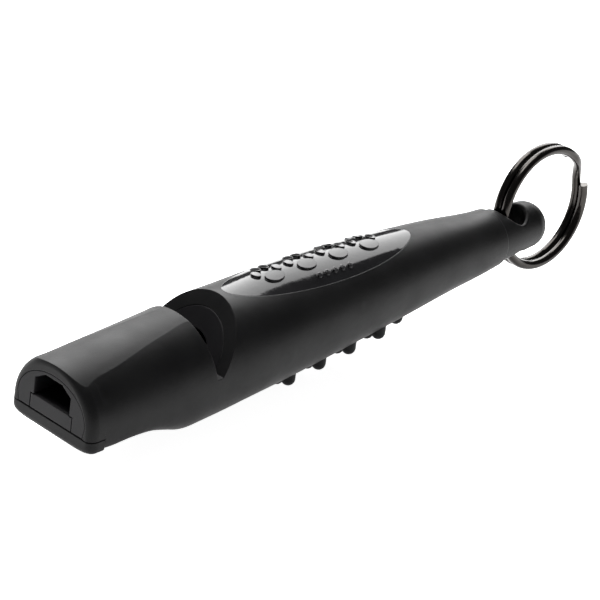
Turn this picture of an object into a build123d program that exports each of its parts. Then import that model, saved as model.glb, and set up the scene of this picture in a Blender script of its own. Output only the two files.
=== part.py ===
from build123d import *
from math import cos, pi, radians, sin
import os

os.makedirs("parts", exist_ok=True)

# ---------------------------------------------------------------- driving dimensions (mm)
# Stations along the whistle are measured back from the mouth face, heights from the body axis.
WHISTLE_LENGTH = 80.0

BODY_WIDTH = 13.3
LIP_LENGTH = 2.2            # the mouthpiece's lip, which sits behind the teeth
LIP_Z = -4.1
FACE_ROUNDING = 1.2         # rounded edge of the mouth face: its depth along the body
FACE_INSET = 0.9            # and its width across
FACET_TOP_Z = 4.65          # crowned top facet, at the mouth
FACET_SLOPE = 0.076         # its climb for each mm along the body
FACET_CROWN_RADIUS = 8.5
MOUTHPIECE_LENGTH = 18.0

# Body sections. Each is a half ellipse standing on a rounded lower half:
# station, half width, height of the widest level, top height, bottom height, squareness of the lower half
SECTIONS = (
    (LIP_LENGTH, 6.5, -1.5, 5.05, -3.7, 7.0),
    (5.5, 6.52, -1.42, 5.25, -3.8, 6.4),
    (8.8, 6.55, -1.35, 5.43, -4.1, 5.2),
    (12.0, 6.58, -1.25, 5.61, -5.2, 4.0),
    (15.0, 6.6, -1.1, 5.8, -6.65, 3.1),
    (18.0, 6.62, -0.95, 6.02, -7.35, 2.5),
    (21.5, 6.65, -0.7, 6.36, -7.4, 2.3),
    (26.0, 6.7, -0.4, 6.28, -7.3, 2.1),
    (33.0, 6.6, -0.15, 6.36, -6.85, 2.0),
    (40.0, 6.3, 0.14, 6.36, -6.16, 2.0),
    (47.5, 5.8, 0.33, 6.02, -5.47, 2.0),
    (55.0, 5.16, 0.39, 5.47, -4.77, 2.0),
    (62.5, 4.42, 0.35, 4.77, -4.07, 2.0),
    (70.6, 3.62, 0.25, 3.87, -3.37, 2.0),
)
COLLAR_X = SECTIONS[-1][0]

# sound window: a V-shaped notch across the body
WINDOW_FLOOR_Z = 0.0
WINDOW_FRONT_X = 18.8       # front wall where it meets the floor
WINDOW_FRONT_LEAN = -0.17   # mm along the body for each mm of height
RAMP_FOOT_X = 19.66
RAMP_LEAN = 0.73

# tone core
CORE_HALF_WIDTH = 5.4
CORE_CENTRE_Z = -0.7
CORE_ARCH_HEIGHT = 4.1
CORE_BOTTOM_Z = -2.02
CORE_FOOT_HALF_WIDTH = 5.17
HEAD_LENGTH = 18.0
TUBE_RADIUS = 5.08
TUBE_CENTRE_Z = -0.3
TUBE_END_X = 36.0
CHAMBER_RADIUS = 3.35
CHAMBER_CENTRE_Z = -0.75
CHAMBER_START_X = 18.2
CHAMBER_END_X = 31.0        # front face of the tone plug
PLUG_LENGTH = 3.2

# windway: a channel in the core, closed from below by the fipple block
WINDWAY_WIDTH = 5.6
WINDWAY_FLAT_WIDTH = 2.62
WINDWAY_WALL_TOP_Z = 1.89
WINDWAY_ROOF_Z = 2.84
WINDWAY_FLOOR_Z = -0.15
WINDWAY_EXIT_FLOOR_Z = 1.35
BLOCK_WIDTH = 6.66
BLOCK_SHOULDER_Z = -0.22

# V-shaped seams between the mouldings, seen on the mouth face and on the ramp
SEAM_WIDTH = 0.08
SEAM_DEPTH = 0.3
BASE_SEAM_WIDTH = 0.14

# base cover
BASE_TONGUE_LENGTH = 14.0
BASE_TONGUE_WIDTH = 10.34

# grip studs: rows across the belly, each at a height above the barrel's surface
STUD_PITCH = 4.93
STUD_FIRST_X = 33.9
STUD_ROW_SPACING = 1.75
STUD_RADIUS = 0.85
STUD_HEIGHT = 0.92
CENTRE_STUD_HEIGHT = 0.5    # the middle row is lower, so the whistle stands on the rows beside it
STUD_ROWS = {-2: 4, -1: 5, 0: 5, 1: 5, 2: 4}

# name panel: a gloss oval let into the top of the barrel
PANEL_CENTRE_X = 40.4
PANEL_HALF_LENGTH = 15.2
PANEL_HALF_WIDTH = 3.9
PANEL_THICKNESS = 0.7
MOTIF_HEIGHT = 0.22
MOTIF_ROOT = 0.2            # how far the raised motif reaches into the panel
PANEL_FIRST_SECTION = 6     # the body section just ahead of the panel
PAW_PITCH = 5.2
PAW_COUNT = 4
PAW_TOES = ((-1.65, 0.75), (-0.63, 1.8), (0.63, 1.8), (1.65, 0.75))
DOT_PITCH = 1.25
DOT_COUNT = 5
DOT_ROW_Y = -2.75

# hollow behind the core, and the tail plug
HOLLOW_RADIUS = 3.3
HOLLOW_END_X = 55.0
SPIGOT_RADIUS = 2.5
TAIL_AXIS_Z = 0.2
TAIL_RADIUS = 3.35
TAIL_TIP_RADIUS = 2.92
TAIL_DOME_X = 77.3
HOLE_X = 74.2
HOLE_RADIUS = 2.08
HOLE_CHAMFER = 0.3

# split ring: two turns of round wire side by side
WIRE_RADIUS = 0.57
TURN_OFFSET = 0.58          # each turn's distance from the ring's middle plane
RING_RADIUS = 7.41
RING_CENTRE_X = 80.64
RING_CENTRE_Y = 0.3
RING_CENTRE_Z = 1.68
RING_TILT = 4.5
FIRST_END_ANGLE = 9.0      # cut end of the near turn
SECOND_END_ANGLE = 48.0     # cut end of the far turn


def body_section(station):
    """Half width, widest level, top and bottom of the body, between its sections."""
    for front, rear in zip(SECTIONS, SECTIONS[1:]):
        if front[0] <= station <= rear[0]:
            part = (station - front[0]) / (rear[0] - front[0])
            return [low + part * (high - low) for low, high in zip(front[1:5], rear[1:5])]
    raise ValueError(station)


def stud_tip_height(station, y):
    """Lowest point of a stud: a fixed distance outside the barrel's surface."""
    radius, widest, _, bottom = body_section(station)
    height = STUD_HEIGHT if y else CENTRE_STUD_HEIGHT
    depth = widest - bottom + height
    return widest - depth * (1 - (y / (radius + height)) ** 2) ** 0.5


# ---------------------------------------------------------------- place of the origin
# The origin is under the middle of whistle and ring, on the surface that the studs stand on.
MOUTH_X = -(RING_CENTRE_X + RING_RADIUS + WIRE_RADIUS) / 2
AXIS_Z = -stud_tip_height(STUD_FIRST_X, STUD_ROW_SPACING)

# ---------------------------------------------------------------- working planes
SIDE = Plane(origin=(MOUTH_X, 0, AXIS_Z), x_dir=(1, 0, 0), z_dir=(0, -1, 0))


def section(station):
    """Plane across the body: its x is the row's Y, its y is height above the axis."""
    return Plane(origin=(MOUTH_X + station, 0, AXIS_Z), x_dir=(0, 1, 0), z_dir=(1, 0, 0))


def level(height):
    """Horizontal plane: its x runs back from the mouth face."""
    return Plane(origin=(MOUTH_X, 0, AXIS_Z + height), x_dir=(1, 0, 0), z_dir=(0, 0, 1))


def section_face(station, half_width, widest, top, bottom, squareness):
    """Face of one body section: a half ellipse above, a superellipse below."""
    steps = 20
    outline = []
    for step in range(2 * steps):
        angle = pi * step / steps
        power = 2 if step <= steps else squareness
        reach = top - widest if step <= steps else widest - bottom
        inverse = abs(cos(angle) / half_width) ** power + abs(sin(angle) / reach) ** power
        radius = inverse ** (-1 / power)
        outline.append((radius * cos(angle), widest + radius * sin(angle)))
    with BuildSketch(section(station)) as sketch:
        with BuildLine():
            add(Edge.make_spline(outline, periodic=True, parameters=range(2 * steps + 1)))
        make_face()
    return sketch.sketch.face()


def body_solid(growth, first=0):
    """The body behind the lip, from the chosen section back, with every section grown."""
    with BuildPart() as body:
        faces = []
        for station, half_width, widest, top, bottom, squareness in SECTIONS[first:]:
            grown = (half_width + growth, widest, top + growth, bottom - growth)
            faces.append(section_face(station, *grown, squareness))
        loft(sections=faces)
    return body.part


def lip_solid():
    """The mouth end: the first section with a deeper underside and a rounded face edge."""
    _, half_width, widest, top, _, squareness = SECTIONS[0]
    steps = 6
    with BuildPart() as lip:
        faces = []
        for step in range(steps + 1):
            angle = radians(90 * step / steps)
            inset = FACE_INSET * (1 - sin(angle))
            station = FACE_ROUNDING * (1 - cos(angle))
            inner = (half_width - inset, widest, top - inset, LIP_Z + inset)
            faces.append(section_face(station, *inner, squareness))
        loft(sections=faces)
        extrude(faces[-1], amount=LIP_LENGTH - FACE_ROUNDING)
    return lip.part


def facet_cutter():
    """Everything above the mouthpiece's crowned top facet."""
    with BuildPart() as cutter:
        climb = Vector(1, 0, FACET_SLOPE).normalized()
        crown_z = FACET_TOP_Z - FACET_CROWN_RADIUS - FACET_SLOPE * (1 + FACE_ROUNDING)
        with BuildSketch(section(-1)):
            with Locations((0, crown_z)):
                Rectangle(40, 40)
                Circle(FACET_CROWN_RADIUS, mode=Mode.SUBTRACT)
            with Locations((0, crown_z - 20)):
                Rectangle(40, 40, mode=Mode.SUBTRACT)
        extrude(amount=MOUTHPIECE_LENGTH + 4, dir=climb)
    return cutter.part


def window_prism():
    """The V-shaped notch, cut right across the body."""
    top = 9.0
    with BuildPart() as prism:
        with BuildSketch(SIDE):
            with BuildLine():
                Polyline(
                    (WINDOW_FRONT_X, WINDOW_FLOOR_Z),
                    (RAMP_FOOT_X, WINDOW_FLOOR_Z),
                    (RAMP_FOOT_X + RAMP_LEAN * top, top),
                    (WINDOW_FRONT_X + WINDOW_FRONT_LEAN * top, top),
                    close=True,
                )
            make_face()
        extrude(amount=BODY_WIDTH, both=True)
    return prism.part


def core_envelope():
    """Outside of the tone core: an arched head and a round tube."""
    with BuildPart() as envelope:
        with BuildSketch(section(0)):
            with BuildLine():
                EllipticalCenterArc(
                    (0, CORE_CENTRE_Z), CORE_HALF_WIDTH, CORE_ARCH_HEIGHT, start_angle=0, arc_size=180
                )
                Line((-CORE_HALF_WIDTH, CORE_CENTRE_Z), (-CORE_FOOT_HALF_WIDTH, CORE_BOTTOM_Z))
                Line((-CORE_FOOT_HALF_WIDTH, CORE_BOTTOM_Z), (CORE_FOOT_HALF_WIDTH, CORE_BOTTOM_Z))
                Line((CORE_FOOT_HALF_WIDTH, CORE_BOTTOM_Z), (CORE_HALF_WIDTH, CORE_CENTRE_Z))
            make_face()
        extrude(amount=HEAD_LENGTH)
        with BuildSketch(section(HEAD_LENGTH - 1)):
            with Locations((0, TUBE_CENTRE_Z)):
                Circle(TUBE_RADIUS)
        extrude(amount=TUBE_END_X - HEAD_LENGTH + 1)
    return envelope.part


def base_solid():
    """Lip and tongue of the underside cover."""
    with BuildPart() as base:
        with BuildSketch(level(CORE_BOTTOM_Z)):
            with Locations((LIP_LENGTH / 2, 0)):
                Rectangle(LIP_LENGTH, BODY_WIDTH + 1)
            with Locations((BASE_TONGUE_LENGTH / 2, 0)):
                Rectangle(BASE_TONGUE_LENGTH, BASE_TONGUE_WIDTH)
        extrude(amount=LIP_Z - CORE_BOTTOM_Z - 1)
    return base.part


def panel_prism():
    """Oval column that cuts the panel out of the barrel's skin."""
    with BuildPart() as column:
        with BuildSketch(level(0)):
            with Locations((PANEL_CENTRE_X, 0)):
                Ellipse(PANEL_HALF_LENGTH, PANEL_HALF_WIDTH)
        extrude(amount=9)
    return column.part


def seam_around_front(piece):
    """Steep chamfer round the front face of a piece that is being built."""
    front = piece.faces().filter_by(Axis.X).sort_by(Axis.X)[0]
    chamfer(front.edges(), length=SEAM_WIDTH, length2=SEAM_DEPTH, reference=front)


def stud_positions():
    for row, count in STUD_ROWS.items():
        for place in range(count):
            yield STUD_FIRST_X + place * STUD_PITCH, row * STUD_ROW_SPACING


# ---------------------------------------------------------------- shared forms
body_form = body_solid(0)
panel_floor_form = body_solid(-PANEL_THICKNESS, PANEL_FIRST_SECTION)
window_form = window_prism()
core_form = core_envelope()
base_form = base_solid()

with BuildPart() as panel_skin:
    add(body_form)
    add(panel_floor_form, mode=Mode.SUBTRACT)
    add(panel_prism(), mode=Mode.INTERSECT)

with BuildPart() as outer_form:
    add(body_form)
    add(lip_solid())
    add(facet_cutter(), mode=Mode.SUBTRACT)

with BuildPart() as studs:
    for station, y in stud_positions():
        tip = stud_tip_height(station, y)
        with BuildSketch(level(tip + STUD_RADIUS)):
            with Locations((station, y)):
                Circle(STUD_RADIUS)
        extrude(amount=STUD_HEIGHT + 1)
        with Locations((MOUTH_X + station, y, AXIS_Z + tip + STUD_RADIUS)):
            Sphere(STUD_RADIUS)

# ---------------------------------------------------------------- body shell
with BuildPart() as body_shell:
    add(outer_form.part)
    add(studs.part)
    add(window_form, mode=Mode.SUBTRACT)
    add(core_form, mode=Mode.SUBTRACT)
    add(base_form, mode=Mode.SUBTRACT)
    with BuildSketch(section(TUBE_END_X - 0.01)):
        Circle(HOLLOW_RADIUS)
    extrude(amount=HOLLOW_END_X - TUBE_END_X, mode=Mode.SUBTRACT)
    with BuildSketch(section(HOLLOW_END_X - 0.02)):
        with Locations((0, TAIL_AXIS_Z)):
            Circle(SPIGOT_RADIUS)
    extrude(amount=COLLAR_X - HOLLOW_END_X + 1, mode=Mode.SUBTRACT)
    add(panel_skin.part, mode=Mode.SUBTRACT)
body_shell.part.label = "body_shell"
export_step(body_shell.part, "parts/body_shell.step")

# ---------------------------------------------------------------- tone core
with BuildPart() as tone_core:
    add(core_form)
    with BuildSketch(section(-1)):
        with BuildLine():
            Polyline(
                (-BLOCK_WIDTH / 2, CORE_BOTTOM_Z - 1),
                (-BLOCK_WIDTH / 2, BLOCK_SHOULDER_Z),
                (-WINDWAY_WIDTH / 2, BLOCK_SHOULDER_Z),
                (-WINDWAY_WIDTH / 2, WINDWAY_WALL_TOP_Z),
                (-WINDWAY_FLAT_WIDTH / 2, WINDWAY_ROOF_Z),
                (WINDWAY_FLAT_WIDTH / 2, WINDWAY_ROOF_Z),
                (WINDWAY_WIDTH / 2, WINDWAY_WALL_TOP_Z),
                (WINDWAY_WIDTH / 2, BLOCK_SHOULDER_Z),
                (BLOCK_WIDTH / 2, BLOCK_SHOULDER_Z),
                (BLOCK_WIDTH / 2, CORE_BOTTOM_Z - 1),
                close=True,
            )
        make_face()
    extrude(amount=CHAMBER_START_X + 1, mode=Mode.SUBTRACT)
    with BuildSketch(section(CHAMBER_START_X)):
        with Locations((0, CHAMBER_CENTRE_Z)):
            Circle(CHAMBER_RADIUS)
    extrude(amount=TUBE_END_X - CHAMBER_START_X + 1, mode=Mode.SUBTRACT)
    add(window_form, mode=Mode.SUBTRACT)
    seam_around_front(tone_core)
    ramp_normal = Vector(-1, 0, RAMP_LEAN).normalized()
    ramp = [face for face in tone_core.faces() if face.normal_at().dot(ramp_normal) > 0.999][0]
    chamfer(ramp.outer_wire().edges().filter_by(GeomType.LINE, reverse=True), length=SEAM_WIDTH)
tone_core.part.label = "tone_core"
export_step(tone_core.part, "parts/tone_core.step")

# ---------------------------------------------------------------- fipple block
with BuildPart() as fipple_block:
    with BuildSketch(section(0)):
        with Locations((0, (BLOCK_SHOULDER_Z + CORE_BOTTOM_Z) / 2)):
            Rectangle(BLOCK_WIDTH, BLOCK_SHOULDER_Z - CORE_BOTTOM_Z)
    extrude(amount=CHAMBER_START_X)
    with BuildSketch(SIDE):
        with BuildLine():
            Polyline(
                (0, BLOCK_SHOULDER_Z),
                (CHAMBER_START_X, BLOCK_SHOULDER_Z),
                (CHAMBER_START_X, WINDWAY_EXIT_FLOOR_Z),
                (0, WINDWAY_FLOOR_Z),
                close=True,
            )
        make_face()
    extrude(amount=WINDWAY_WIDTH / 2, both=True)
    add(window_form, mode=Mode.SUBTRACT)
    seam_around_front(fipple_block)
fipple_block.part.label = "fipple_block"
export_step(fipple_block.part, "parts/fipple_block.step")

# ---------------------------------------------------------------- base cover
with BuildPart() as base_cover:
    add(outer_form.part)
    add(base_form, mode=Mode.INTERSECT)
    front = base_cover.faces().filter_by(Axis.X).sort_by(Axis.X)[0]
    chamfer(front.edges().sort_by(Axis.Z)[-1], length=BASE_SEAM_WIDTH, length2=SEAM_DEPTH, reference=front)
base_cover.part.label = "base_cover"
export_step(base_cover.part, "parts/base_cover.step")

# ---------------------------------------------------------------- tone plug
with BuildPart() as tone_plug:
    with BuildSketch(section(CHAMBER_END_X)):
        with Locations((0, CHAMBER_CENTRE_Z)):
            Circle(CHAMBER_RADIUS)
    extrude(amount=PLUG_LENGTH)
    chamfer(tone_plug.edges().group_by(Axis.X)[-1], length=0.4)
tone_plug.part.label = "tone_plug"
export_step(tone_plug.part, "parts/tone_plug.step")


# ---------------------------------------------------------------- name panel
def paw_print(centre_x):
    """Four toes over a heel pad, read from the near side of the whistle."""
    for toe_x, toe_y in PAW_TOES:
        with Locations((centre_x + toe_x, toe_y)):
            Ellipse(0.47, 0.72)
    with Locations((centre_x, -0.65)):
        Ellipse(1.3, 0.95)


with BuildPart() as name_panel:
    add(panel_skin.part)
    with BuildPart(mode=Mode.PRIVATE) as motif:
        with BuildSketch(level(0)):
            for number in range(PAW_COUNT):
                paw_print(PANEL_CENTRE_X + (number - (PAW_COUNT - 1) / 2) * PAW_PITCH)
            with Locations((PANEL_CENTRE_X, DOT_ROW_Y)):
                with GridLocations(DOT_PITCH, 1, DOT_COUNT, 1):
                    Circle(0.3)
        extrude(amount=9)
        add(body_solid(MOTIF_HEIGHT, PANEL_FIRST_SECTION), mode=Mode.INTERSECT)
        add(body_solid(-MOTIF_ROOT, PANEL_FIRST_SECTION), mode=Mode.SUBTRACT)
    add(motif.part)
name_panel.part.label = "name_panel"
export_step(name_panel.part, "parts/name_panel.step")

# ---------------------------------------------------------------- tail plug
with BuildPart() as tail_plug:
    with BuildSketch(SIDE):
        with BuildLine():
            Polyline(
                (HOLLOW_END_X, TAIL_AXIS_Z),
                (HOLLOW_END_X, TAIL_AXIS_Z + SPIGOT_RADIUS),
                (COLLAR_X, TAIL_AXIS_Z + SPIGOT_RADIUS),
                (COLLAR_X, TAIL_AXIS_Z + TAIL_RADIUS),
                (TAIL_DOME_X, TAIL_AXIS_Z + TAIL_TIP_RADIUS),
            )
            EllipticalCenterArc(
                (TAIL_DOME_X, TAIL_AXIS_Z), WHISTLE_LENGTH - TAIL_DOME_X, TAIL_TIP_RADIUS, 0, arc_size=90
            )
            Line((WHISTLE_LENGTH, TAIL_AXIS_Z), (HOLLOW_END_X, TAIL_AXIS_Z))
        make_face()
    revolve(axis=Axis((0, 0, AXIS_Z + TAIL_AXIS_Z), (1, 0, 0)))
    with BuildSketch(level(-8)):
        with Locations((HOLE_X, 0)):
            Circle(HOLE_RADIUS)
    extrude(amount=16, mode=Mode.SUBTRACT)
    rims = tail_plug.faces().filter_by(GeomType.CYLINDER).sort_by(Axis.X)[-1].edges()
    fillet(rims.filter_by(GeomType.LINE, reverse=True), radius=HOLE_CHAMFER)
tail_plug.part.label = "tail_plug"
export_step(tail_plug.part, "parts/tail_plug.step")


# ---------------------------------------------------------------- split ring
def ring_plane(offset):
    """Plane of one turn: x points to the rear, y up, tilted about the whistle's length."""
    lean = radians(RING_TILT)
    across = Vector(0, -cos(lean), sin(lean))
    centre = Vector(MOUTH_X + RING_CENTRE_X, RING_CENTRE_Y, AXIS_Z + RING_CENTRE_Z)
    return Plane(origin=centre + across * offset, x_dir=(1, 0, 0), z_dir=across)


with BuildPart() as split_ring:
    near_turn = ring_plane(TURN_OFFSET)
    far_turn = ring_plane(-TURN_OFFSET)
    with BuildLine() as wire:
        with BuildLine(near_turn):
            first = CenterArc((0, 0), RING_RADIUS, FIRST_END_ANGLE, SECOND_END_ANGLE - FIRST_END_ANGLE - 360)
        with BuildLine(far_turn):
            second = CenterArc((0, 0), RING_RADIUS, FIRST_END_ANGLE, SECOND_END_ANGLE - FIRST_END_ANGLE - 360)
        Spline(first @ 1, second @ 0, tangents=(first % 1, second % 0))
    with BuildSketch(Plane(origin=first @ 0, z_dir=first % 0)):
        Circle(WIRE_RADIUS)
    sweep(path=wire.wire())
split_ring.part.label = "split_ring"
export_step(split_ring.part, "parts/split_ring.step")
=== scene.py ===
import math

import bpy
from mathutils import Matrix, Vector

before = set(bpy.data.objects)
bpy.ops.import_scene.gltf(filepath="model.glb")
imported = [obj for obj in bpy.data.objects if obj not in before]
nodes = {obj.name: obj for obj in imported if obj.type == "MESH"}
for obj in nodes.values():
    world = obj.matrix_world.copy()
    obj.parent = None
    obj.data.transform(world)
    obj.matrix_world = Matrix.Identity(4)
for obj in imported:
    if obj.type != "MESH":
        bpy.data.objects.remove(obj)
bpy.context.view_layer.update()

MM = 0.001

# The camera looks at the whistle from beyond its mouth, on the near side, from above.
CAMERA_PLACE = Vector((-285.51, -243.3, 203.07)) * MM
CAMERA_RIGHT = Vector((0.6971, -0.7075, 0.1165))
CAMERA_UP = Vector((0.2608, 0.4015, 0.8779))
CAMERA_BACK = Vector((-0.6679, -0.5816, 0.4644))
LENS = 219.0
FLOOR_HALF = 3.0

# Surface detail, in metres or in noise cycles for each metre
EDGE_ROUNDING = 0.00012
EDGE_SAMPLES = 6
CLOUD_SCALE = 160.0
CLOUD_SHARE = 0.35
SHARP_EDGE = (0.52, 0.62)       # pointiness where edge wear starts and where it is full

# Sockets of a colour mix, which share their names and are told apart by number
MIX_SHARE, MIX_FIRST, MIX_SECOND, MIX_RESULT = 0, 6, 7, 2


# ------------------------------------------------------------------ materials
def socket(node, name, value):
    node.inputs[name].default_value = value


def new_material(name):
    """Empty material with a Principled shader."""
    material = bpy.data.materials.new(name)
    material.use_nodes = True
    tree = material.node_tree
    tree.nodes.clear()
    output = tree.nodes.new("ShaderNodeOutputMaterial")
    shader = tree.nodes.new("ShaderNodeBsdfPrincipled")
    tree.links.new(shader.outputs["BSDF"], output.inputs["Surface"])
    return material, tree, shader


def noise(tree, scale, detail):
    """Noise in object space, so that the grain has one size on every piece."""
    coords = tree.nodes.new("ShaderNodeTexCoord")
    texture = tree.nodes.new("ShaderNodeTexNoise")
    socket(texture, "Scale", scale)
    socket(texture, "Detail", detail)
    tree.links.new(coords.outputs["Object"], texture.inputs["Vector"])
    return texture.outputs["Fac"]


def ranged(tree, value, low, high):
    """Spread the middle of a noise over a range of values."""
    spread = tree.nodes.new("ShaderNodeMapRange")
    socket(spread, "From Min", 0.3)
    socket(spread, "From Max", 0.7)
    socket(spread, "To Min", low)
    socket(spread, "To Max", high)
    tree.links.new(value, spread.inputs["Value"])
    return spread.outputs["Result"]


def relief(tree, shader, layers):
    """Bump made of (scale, depth) layers of noise, with rounded edges under it."""
    edges = tree.nodes.new("ShaderNodeBevel")
    edges.samples = EDGE_SAMPLES
    socket(edges, "Radius", EDGE_ROUNDING)
    normal = edges.outputs["Normal"]
    for scale, depth in layers:
        bump = tree.nodes.new("ShaderNodeBump")
        socket(bump, "Strength", 1.0)
        socket(bump, "Distance", depth)
        tree.links.new(noise(tree, scale, 2.0), bump.inputs["Height"])
        tree.links.new(normal, bump.inputs["Normal"])
        normal = bump.outputs["Normal"]
    tree.links.new(normal, shader.inputs["Normal"])


def worn_color(tree, shader, color, worn, amount):
    """Base colour that lightens on sharp edges and in slow clouds."""
    geometry = tree.nodes.new("ShaderNodeNewGeometry")
    edge = tree.nodes.new("ShaderNodeMapRange")
    socket(edge, "From Min", SHARP_EDGE[0])
    socket(edge, "From Max", SHARP_EDGE[1])
    socket(edge, "To Max", amount)
    tree.links.new(geometry.outputs["Pointiness"], edge.inputs["Value"])
    cloud = ranged(tree, noise(tree, CLOUD_SCALE, 3.0), 0.0, CLOUD_SHARE)
    total = tree.nodes.new("ShaderNodeMath")
    total.operation = "ADD"
    total.use_clamp = True
    tree.links.new(edge.outputs["Result"], total.inputs[0])
    tree.links.new(cloud, total.inputs[1])
    mix = tree.nodes.new("ShaderNodeMix")
    mix.data_type = "RGBA"
    mix.inputs[MIX_FIRST].default_value = (*color, 1)
    mix.inputs[MIX_SECOND].default_value = (*worn, 1)
    tree.links.new(total.outputs[0], mix.inputs[MIX_SHARE])
    tree.links.new(mix.outputs[MIX_RESULT], shader.inputs["Base Color"])


def matte_plastic(name, color, worn, roughness, grain):
    """Moulded plastic with a spark-eroded grain and slow changes of gloss."""
    material, tree, shader = new_material(name)
    worn_color(tree, shader, color, worn, 0.4)
    relief(tree, shader, ((9000.0, grain), (1600.0, 0.6 * grain)))
    gloss = ranged(tree, noise(tree, 220.0, 3.0), roughness - 0.05, roughness + 0.05)
    tree.links.new(gloss, shader.inputs["Roughness"])
    socket(shader, "Specular IOR Level", 0.1)
    return material


def gloss_plastic(name, color, worn):
    """Polished plastic with a faint waviness and a few fine handling marks."""
    material, tree, shader = new_material(name)
    worn_color(tree, shader, color, worn, 0.5)
    relief(tree, shader, ((260.0, 0.000004),))
    gloss = ranged(tree, noise(tree, 2600.0, 4.0), 0.06, 0.13)
    tree.links.new(gloss, shader.inputs["Roughness"])
    socket(shader, "Specular IOR Level", 0.16)
    return material


def plated_metal(name, color, worn):
    """Black nickel plate over drawn wire."""
    material, tree, shader = new_material(name)
    worn_color(tree, shader, color, worn, 0.5)
    relief(tree, shader, ((1800.0, 0.000002),))
    gloss = ranged(tree, noise(tree, 900.0, 4.0), 0.13, 0.24)
    tree.links.new(gloss, shader.inputs["Roughness"])
    socket(shader, "Metallic", 1.0)
    return material


def dress(node, material):
    """Give a piece its material; its shading normals come with the CAD mesh."""
    mesh = nodes[node].data
    mesh.materials.clear()
    mesh.materials.append(material)


shell = matte_plastic("shell_plastic", (0.0032, 0.0032, 0.0034), (0.0085, 0.0085, 0.009), 0.44, 0.000009)
core = matte_plastic("core_plastic", (0.004, 0.0038, 0.0044), (0.009, 0.0086, 0.0098), 0.42, 0.000005)
panel = gloss_plastic("panel_plastic", (0.006, 0.006, 0.0065), (0.012, 0.012, 0.013))
metal = plated_metal("ring_metal", (0.026, 0.024, 0.0225), (0.06, 0.056, 0.052))
for node, material in (
    ("body_shell", shell),
    ("base_cover", shell),
    ("tail_plug", shell),
    ("tone_core", core),
    ("fipple_block", core),
    ("tone_plug", core),
    ("name_panel", panel),
    ("split_ring", metal),
):
    dress(node, material)

# ------------------------------------------------------------------ floor
floor_mesh = bpy.data.meshes.new("floor")
corners = [(x * FLOOR_HALF, y * FLOOR_HALF, 0) for x, y in ((-1, -1), (1, -1), (1, 1), (-1, 1))]
floor_mesh.from_pydata(corners, [], [(0, 1, 2, 3)])
floor = bpy.data.objects.new("floor", floor_mesh)
bpy.context.scene.collection.objects.link(floor)
floor_material, _, floor_shader = new_material("floor_paper")
socket(floor_shader, "Base Color", (0.8, 0.8, 0.8, 1))
socket(floor_shader, "Roughness", 0.95)
socket(floor_shader, "Emission Color", (1, 1, 1, 1))
socket(floor_shader, "Emission Strength", 0.95)
floor_mesh.materials.append(floor_material)

# ------------------------------------------------------------------ camera
camera_data = bpy.data.cameras.new("camera")
camera_data.lens = LENS
camera_data.clip_start = 0.01
camera_data.clip_end = 20
camera = bpy.data.objects.new("camera", camera_data)
bpy.context.scene.collection.objects.link(camera)
bpy.context.scene.camera = camera
axes = (CAMERA_RIGHT, CAMERA_UP, CAMERA_BACK, CAMERA_PLACE)
camera.matrix_world = Matrix([[axis[row] for axis in axes] for row in range(3)] + [[0, 0, 0, 1]])


# ------------------------------------------------------------------ light
def softbox(name, place, aim, width, depth, watts):
    """Rectangular lamp at a place, turned to face what it lights."""
    light = bpy.data.lights.new(name, "AREA")
    light.shape = "RECTANGLE"
    light.size = width
    light.size_y = depth
    light.energy = watts
    lamp = bpy.data.objects.new(name, light)
    lamp.location = place
    lamp.rotation_euler = (Vector(aim) - Vector(place)).to_track_quat("-Z", "Y").to_euler()
    bpy.context.scene.collection.objects.link(lamp)


softbox("rear", (0.56, 0.6, 0.56), (0, 0, 0), 1.2, 0.7, 23.0)
softbox("overhead", (0.0, 0.3, 0.8), (0, 0, 0), 0.6, 0.5, 11.0)
world = bpy.data.worlds.new("studio")
world.use_nodes = True
backdrop = world.node_tree.nodes["Background"]
socket(backdrop, "Color", (1, 1, 1, 1))
socket(backdrop, "Strength", 0.12)
bpy.context.scene.world = world
bpy.context.scene.view_settings.view_transform = "Standard"
